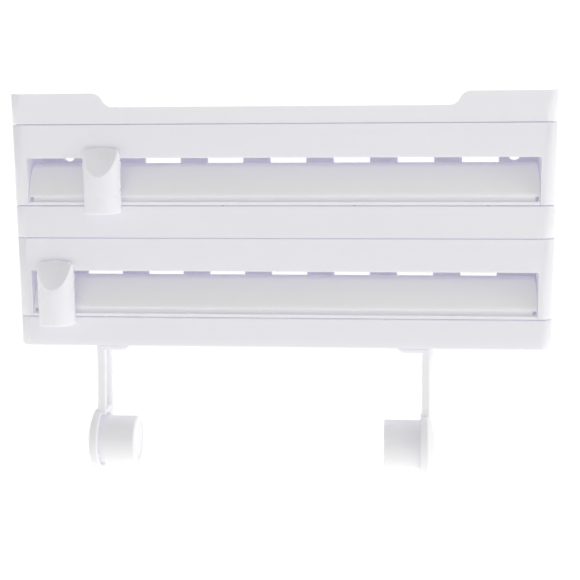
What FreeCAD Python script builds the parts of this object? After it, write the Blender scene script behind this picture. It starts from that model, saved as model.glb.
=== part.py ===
import FreeCAD, Part

import math
import os

from FreeCAD import Vector

# Wall-mounted kitchen dispenser: two stacked film dispensers with sliding cutters, a spice
# tray on top of them and two sliding arms below them that carry a kitchen roll.
# Frame: X to the right, +Z up, the wall is the plane Y = 0 and the front faces -Y.
# The origin is midway between the two keyhole head openings, on the wall. Millimetres.

# ---- driving dimensions -------------------------------------------------------------------
body_width = 385.0
body_depth = 72.0
corner_radius = 8.0
wall = 2.2
joint_gap = 0.8
side_gap = 0.4

tray_joint_z = 27.0                 # joint line between the spice tray and the upper dispenser
module_pitch = 81.1                 # from the upper dispenser's top joint to the lower one's
lower_module_height = 79.2

cover_height = 57.75                # joint line to joint line, from the cover's top
cover_depth = 12.0
slot_top_drop = 23.9                # all drops are measured down from a module's top joint
opening_half_width = 181.8
post_wall = 2.1
floor_top_drop = 72.7
floor_thickness = 2.0
lip_chamfer = 0.6

ramp_top_drop = 28.6
ramp_top_depth = 15.7
ramp_shoulder_drop = 31.4
ramp_shoulder_depth = 10.6
ramp_foot_drop = 51.6
ramp_foot_depth = 1.2
ramp_corner_width = 3.0
ramp_corner_height = 18.0
groove_height = 3.7
groove_depth = 3.0
groove_undercut = 0.7
groove_undercut_width = 1.0
groove_half_length = 181.0
groove_end_hole = 2.5
rail_block_depth = 8.0
guide_depth = 21.0
guide_top_drop = 20.0
guide_bottom_drop = 52.0

hinge_drop_below_cover = 12.0
hinge_depth = 4.5
hinge_pin_radius = 1.1
running_clearance = 0.05
hinge_eye_radius = 2.0
hinge_arm_inner_radius = 12.9
hinge_arm_outer_radius = 17.5
hinge_arm_thickness = 2.6
hinge_arm_inner_x = 182.4

panel_thickness = 3.0
panel_half_width = 189.9
window_width = 27.1
window_period = 48.0
window_count = 7
window_top_drop = 26.0
window_bottom_drop = 44.0
keyhole_spacing = 338.0
keyhole_head_radius = 4.5
keyhole_slot_radius = 2.2
keyhole_slot_rise = 8.0

tray_end_height = 21.5
tray_dip_height = 11.8
tray_back_height = 8.0
tray_slope_outer_x = 133.4
tray_slope_inner_x = 118.0
tray_fall_front_y = -63.0           # the sides fall from here to the low back edge
tray_fall_back_y = -41.0

knob_half_width = 12.9
knob_front = 15.0
knob_back_gap = 0.4
knob_flank = 3.6
knob_wall = 1.7
knob_top_drop = 16.2
knob_bottom_drop = 62.5
knob_scoop_drop = 36.0
knob_scoop_radius = 38.0
knob_scoop_rest = 1.2               # thickness left at the scoop's top
knob_corner = 4.0
knob_arch = 0.9
knob_ear_drop = 28.2
knob_ear_radius = 7.5
knob_ear_proud = 0.7
knob_x = {"upper": -126.4, "lower": -163.2}

rail_center_y = -54.0
rail_width = 24.0
rail_height = 6.0
rail_half_length = 178.0
rail_skin = 1.4
rail_side = 1.6
rail_slot = 10.0
rail_stop_length = 12.0
rail_entry_half_length = 11.0

arm_outer_x = {"left": -136.3, "right": 106.3}
arm_bow = {"left": 1.2, "right": 0.3}     # how far the arm is set outwards
arm_width = 5.1
arm_crown = 3.0
arm_web = 1.6
arm_rim = 3.0
arm_bow_top = -10.0
arm_bow_bottom = -58.0
foot_length = 22.5
foot_thickness = 3.0
foot_gap = 0.3
roll_axis_y = -62.0
roll_axis_z = -207.2
dish_radius = 22.8
dish_rim = 5.0
dish_crown = 5.4
dish_inner_x = {"left": -0.9, "right": -5.8}
dish_recess_radius = 20.0
dish_recess_depth = 3.4
axle_radius = 5.0
axle_length = 14.0
axle_bore_radius = 3.3
axle_tip_wall = 2.0
plug_radius = 17.6
plug_wall = 1.85
plug_length = 26.6
plug_gap = 0.4
plug_rounding = 1.5
plug_end_step = 0.6
plug_end_rim = 2.6
plug_screw_slack = 0.15

screw_radius = 1.5
screw_head_radius = 3.0
screw_head_height = 1.3

# ---- derived places ------------------------------------------------------------------------
half_width = body_width / 2
front_y = -body_depth
module_top = {"upper": tray_joint_z, "lower": tray_joint_z - module_pitch}
module_bottom = {"upper": module_top["lower"] + joint_gap / 2,
                 "lower": module_top["lower"] - lower_module_height}
cover_back_y = front_y + cover_depth
hinge_y = front_y + hinge_depth
panel_front_y = -panel_thickness
rail_top_z = module_top["lower"] - floor_top_drop - floor_thickness
rail_bottom_z = rail_top_z - rail_height

X_AXIS = Vector(1, 0, 0)
Y_AXIS = Vector(0, 1, 0)
Z_AXIS = Vector(0, 0, 1)


# ---- shape helpers -------------------------------------------------------------------------
def box(x0, x1, y0, y1, z0, z1):
    return Part.makeBox(x1 - x0, y1 - y0, z1 - z0, Vector(x0, y0, z0))


def cylinder_x(radius, x0, x1, y, z):
    return Part.makeCylinder(radius, x1 - x0, Vector(x0, y, z), X_AXIS)


def cylinder_y(radius, x, y0, y1, z):
    return Part.makeCylinder(radius, y1 - y0, Vector(x, y0, z), Y_AXIS)


def cylinder_z(radius, x, y, z0, z1):
    return Part.makeCylinder(radius, z1 - z0, Vector(x, y, z0), Z_AXIS)


def mirrored(shape):
    return shape.mirror(Vector(0, 0, 0), X_AXIS)


def both_sides(shape):
    return [shape, mirrored(shape)]


def fuse(shapes):
    return shapes[0].multiFuse(shapes[1:]).removeSplitter()


def polygon_prism(points, direction):
    wire = Part.makePolygon(points + [points[0]])
    return Part.Face(wire).extrude(direction)


def edge_prism(edges, direction):
    wire = Part.Wire(Part.__sortEdges__(edges))
    return Part.Face(wire).extrude(direction)


def line(a, b):
    return Part.LineSegment(a, b).toShape()


def arc(a, middle, b):
    return Part.Arc(a, middle, b).toShape()


def plan_solid(half, y_front, y_back, radius, z0, z1):
    """Block whose two front vertical corners are rounded."""
    offset = radius * (1 - math.sqrt(0.5))
    p1 = Vector(-half, y_back, z0)
    p2 = Vector(-half, y_front + radius, z0)
    p3 = Vector(-half + radius, y_front, z0)
    p4 = Vector(half - radius, y_front, z0)
    p5 = Vector(half, y_front + radius, z0)
    p6 = Vector(half, y_back, z0)
    left_corner = Vector(-half + offset, y_front + offset, z0)
    right_corner = Vector(half - offset, y_front + offset, z0)
    edges = [line(p1, p2), arc(p2, left_corner, p3), line(p3, p4),
             arc(p4, right_corner, p5), line(p5, p6), line(p6, p1)]
    return edge_prism(edges, Vector(0, 0, z1 - z0))


def plan_shell(y_back, z0, z1):
    """The body's outer wall: front and two sides, open at the back, top and bottom."""
    outer = plan_solid(half_width, front_y, y_back, corner_radius, z0, z1)
    inner = plan_solid(half_width - wall, front_y + wall, y_back + 1, corner_radius - wall, z0, z1)
    return outer.cut(inner)


def s_curve(start, end, level):
    """Two equal tangent arcs from start to end; both are level with the axis `level`."""
    step = end - start
    run = step.dot(level)
    rise = step - level * run
    height = rise.Length
    up = rise * (1 / height)
    radius = (run * run / 4 + height * height / 4) / height
    angle = math.asin(abs(run) / 2 / radius)
    side = level * (abs(run) / run)
    middle = (start + end) * 0.5
    step = side * (radius * math.sin(angle / 2)) - up * (radius * math.cos(angle / 2))
    first = start + up * radius + step
    second = end - up * radius - step
    return [arc(start, first, middle), arc(middle, second, end)]


def screw(length, direction, seat):
    """Pan-head screw: the head stands behind the seat and the shank runs along direction."""
    shank = Part.makeCylinder(screw_radius, length, seat, direction)
    head_end = seat - direction * screw_head_height
    head = Part.makeCylinder(screw_head_radius, screw_head_height, head_end, direction)
    recess_depth = 0.6
    recess = Part.makeCylinder(1.2, recess_depth, seat - direction * screw_head_height, direction)
    return fuse([head, shank]).cut(recess)


def save(node, shape):
    shape.exportStep("parts/" + node + ".step")


# ---- back panel ------------------------------------------------------------------------------
def panel_screw_places():
    """Screws driven from behind: the tray's row and one row for each dispenser."""
    places = {"tray_screws": (tray_joint_z + 5.2, (-150.0, -50.0, 50.0, 150.0))}
    for module in ("upper", "lower"):
        places[module + "_trough_screws"] = (module_top[module] - 66.0, (-150.0, -50.0, 50.0, 150.0))
    return places


def back_panel():
    bottom = module_bottom["lower"] + 6.6
    top = tray_joint_z + tray_back_height - 0.3
    panel = box(-panel_half_width, panel_half_width, panel_front_y, 0, bottom, top)
    cuts = []
    for module in ("upper", "lower"):
        z0 = module_top[module] - window_bottom_drop
        z1 = module_top[module] - window_top_drop
        for i in range(window_count):
            x = (i - (window_count - 1) / 2) * window_period
            cuts.append(box(x - window_width / 2, x + window_width / 2, panel_front_y - 1, 1, z0, z1))
    for x in (-keyhole_spacing / 2, keyhole_spacing / 2):
        cuts.append(cylinder_y(keyhole_head_radius, x, panel_front_y - 1, 1, 0))
        cuts.append(cylinder_y(keyhole_slot_radius, x, panel_front_y - 1, 1, keyhole_slot_rise))
        cuts.append(box(x - keyhole_slot_radius, x + keyhole_slot_radius, panel_front_y - 1, 1,
                        0, keyhole_slot_rise))
    for z, columns in panel_screw_places().values():
        for x in columns:
            cuts.append(cylinder_y(screw_radius + running_clearance, x, panel_front_y - 1, 1, z))
            cuts.append(cylinder_y(screw_head_radius + 0.2, x, -screw_head_height - 0.2, 1, z))
    return panel.cut(Part.makeCompound(cuts))


def panel_screws(node):
    z, columns = panel_screw_places()[node]
    seat_y = -screw_head_height - 0.2
    length = 6.0 if node != "tray_screws" else 4.0
    return Part.makeCompound([screw(length, Vector(0, -1, 0), Vector(x, seat_y, z)) for x in columns])


def panel_pilot_holes(node):
    z, columns = panel_screw_places()[node]
    return [cylinder_y(screw_radius, x, -9.0, panel_front_y, z) for x in columns]


# ---- spice tray ------------------------------------------------------------------------------
def spice_tray():
    base = tray_joint_z + joint_gap / 2
    top = tray_joint_z + tray_end_height
    dip = tray_joint_z + tray_dip_height
    low = tray_joint_z + tray_back_height
    shell = plan_shell(0, base, top)
    floor = plan_solid(half_width - wall, front_y + wall, panel_front_y, corner_radius - wall,
                       base, base + wall)
    back = box(wall - half_width, half_width - wall, panel_front_y - wall, panel_front_y, base, low)
    tray = fuse([shell, floor, back])

    # The front edge dips between its two raised ends.
    y0 = front_y - 1
    ends = [Vector(-tray_slope_outer_x, y0, top), Vector(-tray_slope_inner_x, y0, dip),
            Vector(tray_slope_inner_x, y0, dip), Vector(tray_slope_outer_x, y0, top)]
    above = [Vector(tray_slope_outer_x, y0, top + 5), Vector(-tray_slope_outer_x, y0, top + 5)]
    edges = s_curve(ends[0], ends[1], X_AXIS) + [line(ends[1], ends[2])] + s_curve(ends[2], ends[3], X_AXIS)
    edges += [line(ends[3], above[0]), line(above[0], above[1]), line(above[1], ends[0])]
    front_dip = edge_prism(edges, Vector(0, wall + 8, 0))

    # The sides fall to the low back edge.
    x0 = -half_width - 1
    start = Vector(x0, tray_fall_front_y, top)
    end = Vector(x0, tray_fall_back_y, low)
    rear = Vector(x0, 1, low)
    rear_top = Vector(x0, 1, top + 5)
    start_top = Vector(x0, start.y, top + 5)
    edges = s_curve(start, end, Y_AXIS) + [line(end, rear), line(rear, rear_top), line(rear_top, start_top),
                                           line(start_top, start)]
    side_fall = edge_prism(edges, Vector(body_width + 2, 0, 0))
    return tray.cut(Part.makeCompound([front_dip, side_fall])).cut(
        Part.makeCompound(panel_pilot_holes("tray_screws")))


# ---- one dispenser ---------------------------------------------------------------------------
def cover_top(module):
    return module_top[module] - joint_gap / 2


def cover_bottom(module):
    return module_top[module] - cover_height + joint_gap / 2


def lip_top(module):
    return cover_bottom(module) - joint_gap


def hinge_z(module):
    return cover_bottom(module) - hinge_drop_below_cover


def chamfered_lip(skirt, z):
    """The cover's lower edge swings just over the lip, so the lip's outer edge is broken."""
    rim = [e for e in skirt.Edges if e.BoundBox.ZMin > z - 0.01
           and (e.BoundBox.YMin < front_y + 0.01 or abs(e.CenterOfMass.x) > half_width - 0.01)]
    return skirt.makeChamfer(lip_chamfer, rim)


def trough(module):
    """Fixed trough: front lip, floor with cradle ribs, cheeks and a rear flange."""
    top = module_top[module]
    floor_top = top - floor_top_drop
    skirt = chamfered_lip(plan_shell(0, module_bottom[module], lip_top(module)), lip_top(module))
    cheek = box(half_width - wall, half_width, cover_back_y + side_gap, 0,
                lip_top(module) - 2 * lip_chamfer, cover_top(module))
    floor = plan_solid(half_width - wall, front_y + wall, panel_front_y, corner_radius - wall,
                       floor_top - floor_thickness, floor_top)
    flange = box(-half_width + wall, half_width - wall, panel_front_y - 5.0, panel_front_y,
                 floor_top, floor_top + 11)
    pieces = [skirt, floor, flange] + both_sides(cheek)
    for i in range(-2, 3):
        pieces.append(cradle_rib(i * 72.0, floor_top))
    pin_boss = cylinder_x(4.0, 187.0, half_width - 1, hinge_y, hinge_z(module))
    inside = plan_solid(half_width - 0.5, front_y + 0.5, 0, corner_radius,
                        module_bottom[module], lip_top(module))
    pieces += both_sides(pin_boss.common(inside))
    pin_hole = cylinder_x(hinge_pin_radius, 180.0, 190.4, hinge_y, hinge_z(module))
    holes = both_sides(pin_hole) + panel_pilot_holes(module + "_trough_screws")
    if module == "lower":
        holes += [cylinder_z(screw_radius, x, y, rail_top_z - 1, rail_top_z + floor_thickness + 1)
                  for x, y in rail_screw_places()]
    return fuse(pieces).cut(Part.makeCompound(holes))


def cradle_rib(x, floor_top):
    """Upright rib with a round seat that centres a film roll."""
    rib = box(x - 1, x + 1, front_y + wall, panel_front_y - 4.0, floor_top - 0.5, floor_top + 6.0)
    seat = cylinder_x(30.0, x - 2, x + 2, -32.0, floor_top + 31.5)
    return rib.cut(seat)


def hinge_arm(module):
    """Gooseneck at one end of the cover: it reaches round the top of the trough's lip."""
    x0 = hinge_arm_inner_x
    x1 = x0 + hinge_arm_thickness
    y = hinge_y
    z = hinge_z(module)
    ring = cylinder_x(hinge_arm_outer_radius, x0, x1, y, z).cut(
        cylinder_x(hinge_arm_inner_radius, x0 - 1, x1 + 1, y, z))
    reach = 2 * hinge_arm_outer_radius
    lean = math.radians(10)
    sector = polygon_prism([Vector(x0, y, z - hinge_eye_radius),
                            Vector(x0, y + reach, z - hinge_eye_radius),
                            Vector(x0, y + reach, z + reach),
                            Vector(x0, y - reach * math.tan(lean), z + reach),
                            Vector(x0, y, z)], Vector(x1 - x0, 0, 0))
    spoke = box(x0, x1, y, y + hinge_arm_outer_radius - 0.5, z - hinge_eye_radius, z + hinge_eye_radius)
    eye = cylinder_x(hinge_eye_radius, x0, x1, y, z)
    hole = cylinder_x(hinge_pin_radius + running_clearance, x0 - 1, x1 + 1, y, z)
    return fuse([ring.common(sector), spoke, eye]).cut(hole)


def ramp_screw_place(module):
    return front_y + 8.6, module_top[module] - 44.5


def cover(module):
    """Hinged front frame: top band, two end posts and the hinge arms."""
    z0 = cover_bottom(module)
    z1 = cover_top(module)
    slot_top = module_top[module] - slot_top_drop
    frame = plan_shell(cover_back_y, z0, z1)
    opening = box(-opening_half_width, opening_half_width, front_y - 1, cover_back_y + 1, z0 - 1, slot_top)
    frame = frame.cut(opening)
    post = box(opening_half_width, opening_half_width + post_wall, front_y + 0.5, cover_back_y, z0, z1)
    web = box(opening_half_width, half_width - 0.5, cover_back_y - 1.6, cover_back_y, z0 + 20.0, z0 + 22.0)
    guide = box(opening_half_width, opening_half_width + post_wall, cover_back_y - 1, front_y + guide_depth,
                module_top[module] - guide_bottom_drop, module_top[module] - guide_top_drop)
    band_rib = box(-opening_half_width - 1, opening_half_width + 1,
                   front_y + wall - 0.5, front_y + wall + 3.5, z1 - 7.0, z1 - 5.4)
    pieces = [frame, band_rib] + both_sides(post) + both_sides(guide) + both_sides(web)
    pieces += both_sides(hinge_arm(module))
    y, z = ramp_screw_place(module)
    hole = cylinder_x(screw_radius + running_clearance, opening_half_width - 1,
                      opening_half_width + 4, y, z)
    return fuse(pieces).cut(Part.makeCompound(both_sides(hole)))


def film_ramp(module):
    """Curved ramp that the film runs over, with the cutter's grooved rail along its foot."""
    top = module_top[module]
    half = opening_half_width - 0.15
    bottom = cover_bottom(module)
    foot_z = top - ramp_foot_drop
    shoulder = Vector(-half, front_y + ramp_shoulder_depth, top - ramp_shoulder_drop)
    foot = Vector(-half, front_y + ramp_foot_depth, foot_z)
    crest = Vector(-half, front_y + ramp_top_depth, top - ramp_top_drop)
    belly = (shoulder + foot) * 0.5 + Vector(0, -0.35, 0.15)
    brow = Vector(-half, front_y + ramp_shoulder_depth + 1.9, top - ramp_top_drop - 0.75)
    back_crest = crest + Vector(0, 0, -wall)
    back_shoulder = shoulder + Vector(0, wall, -0.8)
    back_foot = Vector(-half, front_y + rail_block_depth, foot_z + 6.0)
    back_low = Vector(-half, front_y + rail_block_depth, bottom)
    front_low = Vector(-half, front_y, bottom)
    front_high = Vector(-half, front_y, foot_z - groove_height)
    inner_high = Vector(-half, foot.y, foot_z - groove_height)
    edges = [arc(foot, belly, shoulder), arc(shoulder, brow, crest), line(crest, back_crest),
             line(back_crest, back_shoulder), line(back_shoulder, back_foot), line(back_foot, back_low),
             line(back_low, front_low), line(front_low, front_high), line(front_high, inner_high),
             line(inner_high, foot)]
    ramp = edge_prism(edges, Vector(2 * half, 0, 0))

    groove = box(-groove_half_length, groove_half_length, front_y - 1, front_y + groove_depth,
                 foot_z - groove_height, foot_z)
    undercut = box(-groove_half_length, groove_half_length,
                   front_y + groove_depth - groove_undercut_width, front_y + groove_depth,
                   foot_z - groove_height - groove_undercut, foot_z + groove_undercut)
    end_hole = box(groove_half_length - groove_end_hole, groove_half_length,
                   front_y - 1, front_y + rail_block_depth + 1, foot_z - groove_height, foot_z)
    corner = corner_cut(half, top - ramp_top_drop)
    y, z = ramp_screw_place(module)
    boss = box(half - 7, half, y - 2.6, y + 3.0, z - 3.4, z + 3.4)
    pilot = cylinder_x(screw_radius, half - 12, half + 1, y, z)
    ramp = fuse([ramp] + both_sides(boss))
    cuts = [groove, undercut] + both_sides(end_hole) + both_sides(corner) + both_sides(pilot)
    return ramp.cut(Part.makeCompound(cuts))


def corner_cut(half, crest_z):
    """What an elliptical top corner leaves out at one end of the ramp."""
    center = Vector(half - ramp_corner_width, front_y, crest_z - ramp_corner_height)
    tall = center + Vector(0, 0, ramp_corner_height)
    wide = center + Vector(ramp_corner_width, 0, 0)
    ellipse = Part.Ellipse(tall, wide, center).toShape()
    round_part = Part.Face(Part.Wire([ellipse])).extrude(Vector(0, 30, 0))
    corner = box(center.x, half + 1, front_y, front_y + 30, center.z, crest_z + 1)
    return corner.cut(round_part)


def ramp_screws(module):
    y, z = ramp_screw_place(module)
    seat = Vector(opening_half_width + post_wall, y, z)
    return Part.makeCompound(both_sides(screw(8.0, Vector(-1, 0, 0), seat)))


def hinge_pins(module):
    pin = cylinder_x(hinge_pin_radius, 182.0, 190.2, hinge_y, hinge_z(module))
    return Part.makeCompound(both_sides(pin))


# ---- sliding cutter --------------------------------------------------------------------------
def blade(module):
    """Double-ended steel blade that lies flat in the middle of the groove."""
    x = knob_x[module]
    z = module_top[module] - ramp_foot_drop - groove_height / 2 - 0.2
    front = front_y + 0.2
    tip = front_y + 1.5
    back = front_y + 2.6
    points = [(-8.5, tip), (-5.5, front), (5.5, front), (8.5, tip), (5.5, back), (-5.5, back)]
    return polygon_prism([Vector(x + px, py, z) for px, py in points], Vector(0, 0, 0.4))


def carriage(module):
    """Runner in the groove, its neck, and the plate that the knob clips over."""
    x = knob_x[module]
    z = module_top[module] - ramp_foot_drop - groove_height / 2
    back = front_y + groove_depth - 0.15
    tall = groove_height / 2 + groove_undercut - 0.15
    runner = box(x - 9, x + 9, back - groove_undercut_width + 0.3, back, z - tall, z + tall)
    neck = box(x - 6, x + 6, front_y - 1.0, back, z - 1.5, z + 1.5)
    plate_gap = 0.5
    plate = box(x - 10.8, x + 10.8, front_y - plate_gap - 2.4, front_y - plate_gap, z - 7.0, z + 7.5)
    return fuse([runner, neck, plate]).cut(blade(module))


def knob_block(module, inset):
    """The knob's outer form, or its hollow when inset is the wall thickness."""
    x = knob_x[module]
    top = module_top[module]
    half = knob_half_width - inset
    back = front_y - knob_back_gap
    shoulder = back - knob_flank
    nose = front_y - knob_front + inset
    z0 = top - knob_bottom_drop - (1 if inset else 0)
    z1 = top - knob_top_drop - inset
    p1 = Vector(x - half, back + (1 if inset else 0), z0)
    p2 = Vector(x - half, shoulder, z0)
    p3 = Vector(x + half, shoulder, z0)
    p4 = Vector(x + half, p1.y, z0)
    tall = Vector(x, shoulder, z0) + Vector(half, 0, 0)
    deep = Vector(x, nose, z0)
    ellipse = Part.Ellipse(tall, deep, Vector(x, shoulder, z0)).toShape()
    oval = Part.Face(Part.Wire([ellipse])).extrude(Vector(0, 0, z1 - z0))
    flanks = polygon_prism([p1, p2, p3, p4], Vector(0, 0, z1 - z0))
    front_half = box(x - half, x + half, nose - 1, shoulder, z0, z1)
    block = fuse([oval.common(front_half), flanks])

    # The scoop is a wide, shallow trough that leans back from the nose to the top.
    crown = Vector(x, back - knob_scoop_rest + inset, z1)
    chin = Vector(x, nose, top - knob_scoop_drop - inset)
    along = crown - chin
    along.normalize()
    normal = Vector(0, -along.z, along.y)
    reach = 60.0
    start = chin - along * reach + normal * knob_scoop_radius
    scoop = Part.makeCylinder(knob_scoop_radius, 2 * reach, start, along)
    return block.cut(scoop).common(rounded_top(x, half, z0, z1, knob_corner - inset))


def rounded_top(x, half, z0, z1, radius):
    """Upright slab with a slightly arched top and rounded corners, as a limit for the knob."""
    offset = radius * (1 - math.sqrt(0.5))
    side_z = z1 - knob_arch
    y0 = front_y - 40
    p1 = Vector(x - half, y0, z0)
    p2 = Vector(x - half, y0, side_z - radius)
    p3 = Vector(x - half + radius, y0, side_z)
    p4 = Vector(x + half - radius, y0, side_z)
    p5 = Vector(x + half, y0, side_z - radius)
    p6 = Vector(x + half, y0, z0)
    left_corner = Vector(x - half + offset, y0, side_z - offset)
    right_corner = Vector(x + half - offset, y0, side_z - offset)
    edges = [line(p1, p2), arc(p2, left_corner, p3), arc(p3, Vector(x, y0, z1), p4),
             arc(p4, right_corner, p5), line(p5, p6), line(p6, p1)]
    return edge_prism(edges, Vector(0, 60, 0))


def knob_ears(module):
    """A shallow grip on each flank: the part of a lying disc that stands out of the flank."""
    x = knob_x[module]
    z = module_top[module] - knob_ear_drop
    back = front_y - knob_back_gap
    reach = knob_half_width + knob_ear_proud - knob_ear_radius
    limit = box(x - knob_half_width - 2, x + knob_half_width + 2,
                back - knob_flank, back - 0.4, z - 10, z + 10)
    hollow = box(x - knob_half_width + knob_wall, x + knob_half_width - knob_wall,
                 back - 20, back + 1, z - 10, z + 10)
    discs = [cylinder_y(knob_ear_radius, x + side * reach, back - 20, back, z) for side in (-1, 1)]
    return [disc.common(limit).cut(hollow) for disc in discs]


def knob(module):
    shell = knob_block(module, 0).cut(knob_block(module, knob_wall))
    return fuse([shell] + knob_ears(module))


# ---- arm rail and arms -----------------------------------------------------------------------
def rail_screw_places():
    reach = rail_half_length - rail_stop_length / 2
    return [(x, rail_center_y + side * 7.0) for x in (-reach, reach) for side in (-1, 1)]


def arm_rail():
    """T-slot rail under the lower trough, closed at both ends, with an entry in the middle."""
    y0 = rail_center_y - rail_width / 2
    y1 = rail_center_y + rail_width / 2
    rail = box(-rail_half_length, rail_half_length, y0, y1, rail_bottom_z, rail_top_z)
    inner = rail_half_length - rail_stop_length
    cavity = box(-inner, inner, y0 + rail_side, y1 - rail_side,
                 rail_bottom_z + rail_skin, rail_top_z - rail_skin)
    slot = box(-inner, inner, rail_center_y - rail_slot / 2, rail_center_y + rail_slot / 2,
               rail_bottom_z - 1, rail_bottom_z + rail_skin)
    entry = box(-rail_entry_half_length, rail_entry_half_length, y0 + rail_side, y1 - rail_side,
                rail_bottom_z - 1, rail_bottom_z + rail_skin)
    cuts = [cavity, slot, entry]
    for x, y in rail_screw_places():
        cuts.append(cylinder_z(screw_radius + running_clearance, x, y, rail_bottom_z - 1, rail_top_z + 1))
        cuts.append(cylinder_z(screw_head_radius + 0.2, x, y, rail_bottom_z - 1, rail_bottom_z + 1.6))
    return rail.cut(Part.makeCompound(cuts))


def rail_screws():
    seat_z = rail_bottom_z + 1.6
    return Part.makeCompound([screw(6.0, Z_AXIS, Vector(x, y, seat_z)) for x, y in rail_screw_places()])


# An arm is drawn for the right side in its own frame: x outwards from the arm's outer edge,
# y from the rail's middle, z from the top of its foot plate.
local_axis_y = roll_axis_y - rail_center_y
local_axis_z = roll_axis_z - (rail_bottom_z - foot_gap)


def limb_path(side):
    """Middle line of the arm: straight under the foot, then set outwards, then straight."""
    top = Vector(0, 0, 0)
    start = Vector(0, 0, arm_bow_top)
    end = Vector(arm_bow[side], 0, arm_bow_bottom)
    foot = Vector(arm_bow[side], 0, local_axis_z)
    return Part.Wire([line(top, start)] + s_curve(start, end, -Z_AXIS) + [line(end, foot)])


def limb_section(half, x_inner, x_outer, crown):
    """Plan section of the arm; its outer side is crowned."""
    p1 = Vector(x_inner, -half, 0)
    p2 = Vector(x_inner, half, 0)
    p3 = Vector(x_outer, half, 0)
    p4 = Vector(x_outer, -half, 0)
    edges = [line(p1, p2), line(p2, p3), arc(p3, Vector(x_outer + crown, 0, 0), p4), line(p4, p1)]
    return Part.Wire(edges)


def limb(side, section):
    return limb_path(side).makePipeShell([section], True, False)


def arm_blank(side):
    """Crowned channel arm, dish and axle, in the arm's own frame."""
    half = rail_width / 2
    strip = limb(side, limb_section(half, -arm_width, 0, arm_crown))
    pocket = limb(side, limb_section(half - arm_rim, -arm_width - 5, -arm_web, 0.6 * arm_crown))
    pocket_end = local_axis_z + dish_radius - 0.5
    pocket = pocket.common(box(-20, 20, -30, 30, pocket_end, -foot_thickness - 2))

    inner_x = dish_inner_x[side]
    rim_x = inner_x + dish_rim
    floor_x = inner_x + dish_recess_depth
    y = local_axis_y
    z = local_axis_z
    crown_radius = (dish_radius ** 2 + dish_crown ** 2) / 2 / dish_crown
    rim = cylinder_x(dish_radius, inner_x, rim_x, y, z)
    crown = Part.makeSphere(crown_radius, Vector(rim_x + dish_crown - crown_radius, y, z))
    crown = crown.common(cylinder_x(dish_radius, rim_x, rim_x + dish_crown + 1, y, z))
    recess = cylinder_x(dish_recess_radius, inner_x - 10, floor_x, y, z)
    tip_x = floor_x - axle_length
    axle = cylinder_x(axle_radius, tip_x, floor_x + 0.5, y, z)
    bore = cylinder_x(axle_bore_radius, tip_x + axle_tip_wall, rim_x + dish_crown + 2, y, z)
    tip_hole = cylinder_x(screw_radius + 0.12, tip_x - 1, tip_x + axle_tip_wall + 1, y, z)
    return fuse([fuse([strip.cut(pocket), rim, crown]).cut(recess), axle]).cut(bore).cut(tip_hole)


def arm_foot():
    """Foot plate under the rail, with the neck and head that run in the rail's T-slot."""
    half = rail_width / 2
    bevel = 3.0
    plate = polygon_prism([Vector(-foot_length, -half, 0), Vector(0, -half, 0),
                           Vector(0, -half, -foot_thickness),
                           Vector(-foot_length + bevel, -half, -foot_thickness),
                           Vector(-foot_length, -half, -0.8)], Vector(0, rail_width, 0))
    head_z = foot_gap + rail_skin + 0.3
    neck = box(-foot_length / 2 - 5, -foot_length / 2 + 5, -4, 4, -0.5, head_z + 0.5)
    head = box(-foot_length / 2 - 7, -foot_length / 2 + 7, -8.75, 8.75, head_z, head_z + 2.5)
    return fuse([plate, neck, head])


def plug_blank(side):
    """Plug closed at its tip; it turns on the hollow axle and carries the kitchen roll's core."""
    inner_x = dish_inner_x[side]
    floor_x = inner_x + dish_recess_depth
    mouth_x = floor_x - plug_gap
    end_x = inner_x - plug_length
    tip_x = floor_x - axle_length
    y = local_axis_y
    z = local_axis_z
    cup = cylinder_x(plug_radius, end_x, mouth_x, y, z)
    tip = [e for e in cup.Edges if abs(e.CenterOfMass.x - end_x) < 0.01 and e.Length > 10]
    cup = cup.makeFillet(plug_rounding, tip[:1])
    end_step = cylinder_x(plug_radius - plug_end_rim, end_x - 1, end_x + plug_end_step, y, z)
    hollow = cylinder_x(plug_radius - plug_wall, end_x + plug_end_step + plug_wall, mouth_x + 1, y, z)
    sleeve = cylinder_x(axle_radius + 2.2, end_x + plug_end_step + 1, mouth_x - 1, y, z)
    ribs = []
    for i in range(4):
        rib = box(end_x + 2, mouth_x - 3, y + axle_radius + 1, y + plug_radius - 1, z - 0.8, z + 0.8)
        rib.rotate(Vector(0, y, z), X_AXIS, 45 + 90 * i)
        ribs.append(rib)
    bore = cylinder_x(axle_radius + running_clearance + 0.02, tip_x - plug_gap, floor_x + 1, y, z)
    pilot = cylinder_x(screw_radius, tip_x - plug_gap - 8, tip_x, y, z)
    return fuse([cup.cut(end_step).cut(hollow), sleeve] + ribs).cut(bore).cut(pilot)


def plug_screw_blank(side):
    """Screw inside the hollow axle that holds the plug on."""
    tip_x = dish_inner_x[side] + dish_recess_depth - axle_length
    seat = Vector(tip_x + axle_tip_wall + plug_screw_slack, local_axis_y, local_axis_z)
    return screw(9.5, -X_AXIS, seat)


def place_arm(shape, side):
    """Mirror a blank for the left side and set it under the rail."""
    placed = mirrored(shape) if side == "left" else shape.copy()
    placed.translate(Vector(arm_outer_x[side], rail_center_y, rail_bottom_z - foot_gap))
    return placed


def arm(side):
    return place_arm(fuse([arm_foot(), arm_blank(side)]), side)


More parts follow.
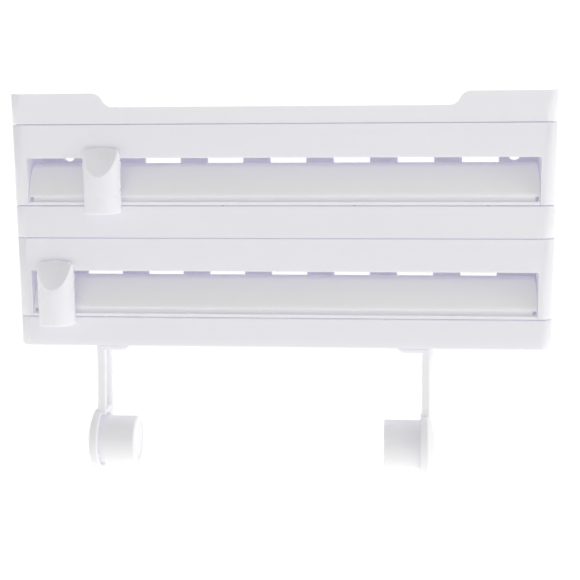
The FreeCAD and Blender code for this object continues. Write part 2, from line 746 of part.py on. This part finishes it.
# ---- write every node ------------------------------------------------------------------------
def main():
    os.makedirs("parts", exist_ok=True)
    save("back_panel", back_panel())
    save("spice_tray", spice_tray())
    save("tray_screws", panel_screws("tray_screws"))
    for module in ("upper", "lower"):
        save(module + "_trough", trough(module))
        save(module + "_trough_screws", panel_screws(module + "_trough_screws"))
        save(module + "_hinge_pins", hinge_pins(module))
        save(module + "_cover", cover(module))
        save(module + "_film_ramp", film_ramp(module))
        save(module + "_ramp_screws", ramp_screws(module))
        save(module + "_cutter_knob", knob(module))
        save(module + "_cutter_carriage", carriage(module))
        save(module + "_cutter_blade", blade(module))
    save("arm_rail", arm_rail())
    save("rail_screws", rail_screws())
    for side in ("left", "right"):
        save(side + "_arm", arm(side))
        save(side + "_roll_plug", place_arm(plug_blank(side), side))
        save(side + "_plug_screw", place_arm(plug_screw_blank(side), side))


main()
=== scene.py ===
"""Wall-mounted kitchen dispenser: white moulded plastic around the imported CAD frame."""

import math

import bpy
from mathutils import Matrix, Vector

MM = 0.001

# White plastic: base colour of its clouds, lighter and darker, with a slight lavender tint.
BODY_WHITE = ((0.905, 0.897, 0.956), (0.895, 0.887, 0.948))
CUTTER_WHITE = ((0.912, 0.904, 0.955), (0.902, 0.894, 0.948))
# The film ramp's white is the body white painted lighter, to offset the shade it lies in under
# the slots.
RAMP_WHITE_PAINTED_LIGHTER = ((0.945, 0.938, 0.982), (0.937, 0.930, 0.976))
ARM_WHITE = ((0.940, 0.932, 0.976), (0.930, 0.922, 0.968))
PLASTIC_IOR = 1.46
TRANSLUCENT_DEPTH = 0.0015              # metres that light travels inside the plastic
PAINTED_GLOW_COLOR = (0.97, 0.96, 1.0, 1.0)     # painted glow: the plastic emits a faint light, though it is no lamp, to brighten gaps and recesses that would lie in shade
PAINTED_GLOW_STRENGTH = 0.038
SKIN_RELIEF = 0.00004

# Noise scales, in features per metre.
CLOUD_SCALE = 14.0
SHEEN_SCALE = 60.0
PEEL_SCALE = 420.0
GRAIN_SCALE = 2600.0
METAL_MARK_SCALE = 900.0
METAL_RELIEF = 0.00002

EDGE_WIDTH = 0.0002
EDGE_SEGMENTS = 2
EDGE_MIN_ANGLE = math.radians(32)
WELD_REACH = 0.000002
SHARP_NODES = ("screw", "pins", "blade", "panel")     # thin or ground edges, left as cut

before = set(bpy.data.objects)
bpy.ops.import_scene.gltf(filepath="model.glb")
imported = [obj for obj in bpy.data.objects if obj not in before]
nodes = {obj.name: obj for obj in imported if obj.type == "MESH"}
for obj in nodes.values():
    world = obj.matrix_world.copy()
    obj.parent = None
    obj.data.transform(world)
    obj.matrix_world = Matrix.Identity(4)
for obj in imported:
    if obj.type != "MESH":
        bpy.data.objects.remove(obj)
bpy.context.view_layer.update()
scene = bpy.context.scene


# ---- materials -------------------------------------------------------------------------------
class Graph:
    """Small helper that builds one node material."""

    def __init__(self, name):
        self.material = bpy.data.materials.new(name)
        self.material.use_nodes = True
        self.tree = self.material.node_tree
        self.tree.nodes.clear()
        self.output = self.tree.nodes.new("ShaderNodeOutputMaterial")
        self.shader = self.tree.nodes.new("ShaderNodeBsdfPrincipled")
        self.link(self.shader.outputs["BSDF"], self.output.inputs["Surface"])
        self.coords = self.tree.nodes.new("ShaderNodeTexCoord").outputs["Object"]

    def link(self, a, b):
        self.tree.links.new(a, b)

    def noise(self, scale, detail=3.0, roughness=0.5, stretch=(1.0, 1.0, 1.0)):
        mapping = self.tree.nodes.new("ShaderNodeMapping")
        mapping.inputs["Scale"].default_value = stretch
        self.link(self.coords, mapping.inputs["Vector"])
        noise = self.tree.nodes.new("ShaderNodeTexNoise")
        noise.inputs["Scale"].default_value = scale
        noise.inputs["Detail"].default_value = detail
        noise.inputs["Roughness"].default_value = roughness
        self.link(mapping.outputs["Vector"], noise.inputs["Vector"])
        return noise.outputs["Fac"]

    def ramp(self, value, stops):
        ramp = self.tree.nodes.new("ShaderNodeValToRGB")
        elements = ramp.color_ramp.elements
        while len(elements) < len(stops):
            elements.new(0.5)
        for element, (place, color) in zip(elements, stops):
            element.position = place
            element.color = (*color, 1.0)
        self.link(value, ramp.inputs["Fac"])
        return ramp.outputs["Color"]

    def span(self, value, low, high):
        node = self.tree.nodes.new("ShaderNodeMapRange")
        node.inputs["From Min"].default_value = 0.3
        node.inputs["From Max"].default_value = 0.7
        node.inputs["To Min"].default_value = low
        node.inputs["To Max"].default_value = high
        self.link(value, node.inputs["Value"])
        return node.outputs["Result"]

    def add(self, a, b, weight):
        node = self.tree.nodes.new("ShaderNodeMath")
        node.operation = "MULTIPLY_ADD"
        node.inputs[1].default_value = weight
        self.link(b, node.inputs[0])
        self.link(a, node.inputs[2])
        return node.outputs["Value"]

    def bump(self, height, distance, strength=1.0):
        node = self.tree.nodes.new("ShaderNodeBump")
        node.inputs["Distance"].default_value = distance
        node.inputs["Strength"].default_value = strength
        self.link(height, node.inputs["Height"])
        self.link(node.outputs["Normal"], self.shader.inputs["Normal"])


def moulded_plastic(name, white, roughness, grain):
    """White moulded plastic: faint cloudiness, orange-peel skin, a fine spark-eroded grain, and a
    faint painted glow that brightens its gaps and recesses.
    """
    g = Graph(name)
    light, shade = white
    clouds = g.noise(CLOUD_SCALE, detail=4.0)
    g.link(g.ramp(clouds, [(0.3, shade), (0.7, light)]), g.shader.inputs["Base Color"])
    sheen = g.span(g.noise(SHEEN_SCALE), roughness - 0.05, roughness + 0.05)
    g.link(sheen, g.shader.inputs["Roughness"])
    g.shader.inputs["IOR"].default_value = PLASTIC_IOR
    g.shader.inputs["Subsurface Weight"].default_value = 1.0
    g.shader.inputs["Subsurface Radius"].default_value = (1.0, 1.0, 1.0)
    g.shader.inputs["Subsurface Scale"].default_value = TRANSLUCENT_DEPTH
    # Painted glow: a faint emission on the plastic lifts its gaps and recesses out of shade.
    g.shader.inputs["Emission Color"].default_value = PAINTED_GLOW_COLOR
    g.shader.inputs["Emission Strength"].default_value = PAINTED_GLOW_STRENGTH
    peel = g.noise(PEEL_SCALE, detail=2.0)
    fine = g.noise(GRAIN_SCALE, detail=2.0)
    g.bump(g.add(peel, fine, grain), SKIN_RELIEF, 0.5)
    return g.material


def steel(name, color, roughness, stretch):
    """Metal with fine marks drawn out along one direction."""
    g = Graph(name)
    marks = g.noise(METAL_MARK_SCALE, detail=4.0, stretch=stretch)
    dark = tuple(c * 0.82 for c in color)
    g.link(g.ramp(marks, [(0.35, dark), (0.65, color)]), g.shader.inputs["Base Color"])
    g.link(g.span(marks, roughness - 0.08, roughness + 0.08), g.shader.inputs["Roughness"])
    g.shader.inputs["Metallic"].default_value = 1.0
    g.bump(marks, METAL_RELIEF, 0.4)
    return g.material


body_plastic = moulded_plastic("body_plastic", BODY_WHITE, 0.42, 0.35)
cover_plastic = moulded_plastic("cover_plastic", BODY_WHITE, 0.38, 0.25)
cutter_plastic = moulded_plastic("cutter_plastic", CUTTER_WHITE, 0.30, 0.15)
# Painted light: the recessed film ramp gets a lighter copy of the body white to offset its shade.
ramp_plastic_painted_lighter = moulded_plastic("ramp_plastic_painted_lighter", RAMP_WHITE_PAINTED_LIGHTER, 0.36, 0.20)
arm_plastic = moulded_plastic("arm_plastic", ARM_WHITE, 0.34, 0.20)
blade_steel = steel("blade_steel", (0.72, 0.73, 0.75), 0.28, (1.0, 0.1, 1.0))
zinc_steel = steel("zinc_steel", (0.66, 0.67, 0.69), 0.38, (1.0, 1.0, 1.0))


def material_of(node):
    if node.endswith("_blade"):
        return blade_steel
    if "screw" in node or "pins" in node:
        return zinc_steel
    if "cutter" in node:
        return cutter_plastic
    if "film_ramp" in node:
        return ramp_plastic_painted_lighter
    if "cover" in node:
        return cover_plastic
    if "arm" in node and node != "arm_rail" or "plug" in node:
        return arm_plastic
    return body_plastic


def finish_node(name):
    """The node's finish, with moulded edges broken as a mould leaves them."""
    obj = nodes[name]
    obj.data.materials.clear()
    obj.data.materials.append(material_of(name))
    if any(word in name for word in SHARP_NODES):
        return
    weld = obj.modifiers.new("weld", "WELD")
    weld.merge_threshold = WELD_REACH
    bevel = obj.modifiers.new("edges", "BEVEL")
    bevel.width = EDGE_WIDTH
    bevel.segments = EDGE_SEGMENTS
    bevel.limit_method = "ANGLE"
    bevel.angle_limit = EDGE_MIN_ANGLE
    bevel.use_clamp_overlap = True
    bevel.harden_normals = True


for name in nodes:
    finish_node(name)


# ---- stage, light and camera -------------------------------------------------------------------
FLOOR_DROP = 0.75
FLOOR_REACH = 12.0
FLOOR_GLOW = 0.45                       # keeps the floor as white as the backdrop

floor_mesh = bpy.data.meshes.new("floor")
corners = ((-1, -1), (1, -1), (1, 1), (-1, 1))
floor_mesh.from_pydata([(i * FLOOR_REACH, j * FLOOR_REACH, -FLOOR_DROP) for i, j in corners],
                       [], [(0, 1, 2, 3)])
floor = bpy.data.objects.new("floor", floor_mesh)
scene.collection.objects.link(floor)
floor_paint = Graph("floor_paint")
floor_paint.shader.inputs["Base Color"].default_value = (1.0, 1.0, 1.0, 1.0)
floor_paint.shader.inputs["Roughness"].default_value = 0.9
floor_paint.shader.inputs["Emission Color"].default_value = (1.0, 1.0, 1.0, 1.0)
floor_paint.shader.inputs["Emission Strength"].default_value = FLOOR_GLOW
floor_mesh.materials.append(floor_paint.material)

BACKDROP_STRENGTH = 1.05                # how the backdrop looks; its light is set below
STUDIO_LEVEL = 0.53                     # light from all round
STUDIO_LEAN = (0.07, 0.10, 0.12)        # brighter from the right, from behind and from above

world = bpy.data.worlds.new("studio")
world.use_nodes = True
world_tree = world.node_tree
background = world_tree.nodes["Background"]
background.inputs["Color"].default_value = (1.0, 1.0, 1.0, 1.0)
direction = world_tree.nodes.new("ShaderNodeTexCoord").outputs["Generated"]
lean = world_tree.nodes.new("ShaderNodeVectorMath")
lean.operation = "DOT_PRODUCT"
lean.inputs[1].default_value = STUDIO_LEAN
world_tree.links.new(direction, lean.inputs[0])
level = world_tree.nodes.new("ShaderNodeMath")
level.operation = "ADD"
level.inputs[1].default_value = STUDIO_LEVEL
world_tree.links.new(lean.outputs["Value"], level.inputs[0])
seen = world_tree.nodes.new("ShaderNodeMix")
seen.data_type = "FLOAT"
seen.inputs["B"].default_value = BACKDROP_STRENGTH
world_tree.links.new(world_tree.nodes.new("ShaderNodeLightPath").outputs["Is Camera Ray"],
                     seen.inputs["Factor"])
world_tree.links.new(level.outputs["Value"], seen.inputs["A"])
world_tree.links.new(seen.outputs["Result"], background.inputs["Strength"])
scene.world = world
scene.cycles.diffuse_bounces = 12
scene.cycles.max_bounces = 16


KEY_PLACE = Vector((2.2, -0.5, 0.45))
KEY_TARGET = Vector((0.0, -0.03, -0.05))
key_data = bpy.data.lights.new("key", "AREA")
key_data.shape = "SQUARE"
key_data.size = 0.9
key_data.energy = 7.0
key = bpy.data.objects.new("key", key_data)
scene.collection.objects.link(key)
key.location = KEY_PLACE
key.rotation_mode = "QUATERNION"
key.rotation_quaternion = (KEY_PLACE - KEY_TARGET).to_track_quat("Z", "Y")
key.visible_camera = False

CAMERA_PLACE = Vector((89.06, -952.59, 69.94)) * MM
LENS = 78.08
YAW = math.radians(5.3436)
PITCH = math.radians(10.3262)
ROLL = math.radians(-0.5978)
camera_data = bpy.data.cameras.new("camera")
camera_data.sensor_width = 36.0
camera_data.lens = LENS
camera_data.clip_start = 0.01
camera_data.clip_end = 100.0
camera = bpy.data.objects.new("camera", camera_data)
scene.collection.objects.link(camera)
camera.matrix_world = (
    Matrix.Translation(CAMERA_PLACE)
    @ Matrix.Rotation(YAW, 4, "Z")
    @ Matrix.Rotation(math.radians(90) - PITCH, 4, "X")
    @ Matrix.Rotation(ROLL, 4, "Z")
)
scene.camera = camera
scene.view_settings.view_transform = "Standard"
